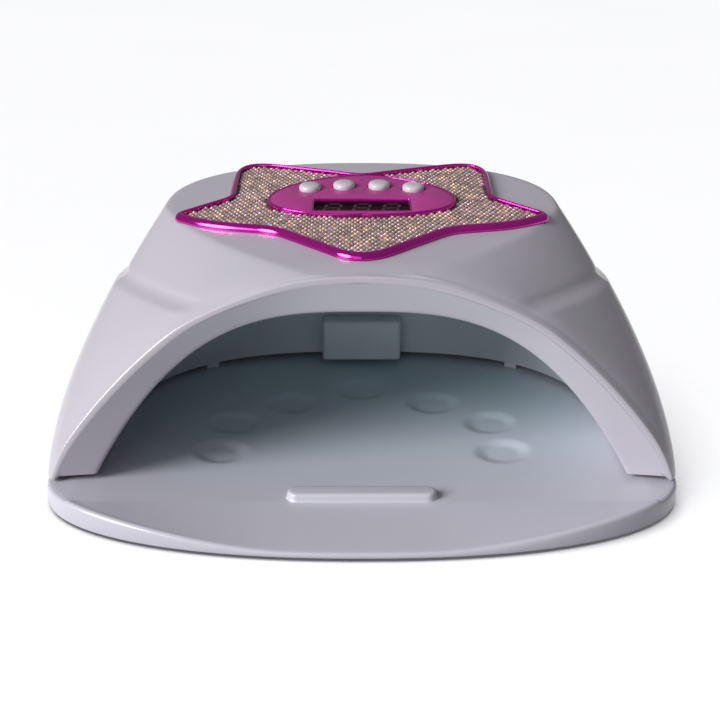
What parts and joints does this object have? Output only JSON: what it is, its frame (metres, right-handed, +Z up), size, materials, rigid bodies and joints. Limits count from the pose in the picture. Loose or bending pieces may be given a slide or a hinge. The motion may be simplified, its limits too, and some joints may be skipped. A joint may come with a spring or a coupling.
{
  "type": "uv led nail lamp",
  "caption": "Arched nail-curing lamp: domed white housing with an open hand cavity, star-shaped rhinestone control panel and a removable magnetic tray.",
  "frame": {"origin": "on the table under the middle of the lamp's outline", "axes": "+X to the lamp's right-hand side seen from above with the hand opening towards -Y, +Y to its back, +Z up"},
  "size_m": [0.2306, 0.19, 0.0965],
  "materials": {
    "housing_white": "glossy white moulded plastic",
    "liner_white": "satin white moulded plastic",
    "tray_white": "glossy white moulded plastic",
    "foot_rubber": "soft grey rubber",
    "magnet_steel": "nickel-plated magnet",
    "screw_steel": "zinc-plated steel",
    "chrome_magenta": "magenta metallised trim",
    "crystal": "champagne faceted stones",
    "panel_magenta": "satin magenta",
    "cap_white": "glossy white",
    "window_glass": "dark smoked window",
    "dark_plastic": "black moulded plastic",
    "led_lens": "clear yellowish silicone",
    "circuit_board": "green circuit board",
    "power_wire": "red insulated wire",
    "led_wire": "yellow insulated wire"
  },
  "bodies": {
    "tray": {"base_tray": "tray_white", "tray_foot_1": "foot_rubber", "tray_foot_2": "foot_rubber", "tray_foot_3": "foot_rubber", "tray_foot_4": "foot_rubber", "tray_magnet_1": "magnet_steel", "tray_magnet_2": "magnet_steel", "tray_magnet_3": "magnet_steel", "tray_magnet_4": "magnet_steel"},
    "housing": {"outer_shell": "housing_white", "inner_liner": "liner_white", "star_trim": "chrome_magenta", "rhinestone_mat": "crystal", "control_panel": "panel_magenta", "display_window": "window_glass", "display_module": "dark_plastic", "control_board": "circuit_board", "tact_switch_1": "dark_plastic", "tact_switch_2": "dark_plastic", "tact_switch_3": "dark_plastic", "tact_switch_4": "dark_plastic", "led_board_front": "circuit_board", "led_board_middle": "circuit_board", "led_board_rear": "circuit_board", "led_lenses_front": "led_lens", "led_lenses_middle": "led_lens", "led_lenses_rear": "led_lens", "sensor_cover": "liner_white", "sensor_board": "circuit_board", "ir_emitter": "led_lens", "ir_receiver": "dark_plastic", "dc_jack": "dark_plastic", "dc_jack_pin": "screw_steel", "power_harness": "power_wire", "led_harness": "led_wire", "housing_magnet_1": "magnet_steel", "housing_magnet_2": "magnet_steel", "housing_magnet_3": "magnet_steel", "housing_magnet_4": "magnet_steel", "screw_post_1": "housing_white", "screw_post_2": "housing_white", "screw_post_3": "housing_white", "screw_post_4": "housing_white", "assembly_screws": "screw_steel"},
    "button_1": {"button_cap_1": "cap_white"},
    "button_2": {"button_cap_2": "cap_white"},
    "button_3": {"button_cap_3": "cap_white"},
    "button_4": {"button_cap_4": "cap_white"}
  },
  "joints": [
    {"name": "housing_lift", "type": "slide", "parent": "tray", "child": "housing", "axis": [0, 0, 1], "range_m": [0, 0.06]},
    {"name": "button_1_press", "type": "slide", "parent": "housing", "child": "button_1", "axis": [0, 0.0837, -0.9965], "range_m": [0, 0.0008], "stiffness_N_per_m": 600},
    {"name": "button_2_press", "type": "slide", "parent": "housing", "child": "button_2", "axis": [0, 0.0837, -0.9965], "range_m": [0, 0.0008], "stiffness_N_per_m": 600},
    {"name": "button_3_press", "type": "slide", "parent": "housing", "child": "button_3", "axis": [0, 0.0837, -0.9965], "range_m": [0, 0.0008], "stiffness_N_per_m": 600},
    {"name": "button_4_press", "type": "slide", "parent": "housing", "child": "button_4", "axis": [0, 0.0837, -0.9965], "range_m": [0, 0.0008], "stiffness_N_per_m": 600}
  ]
}
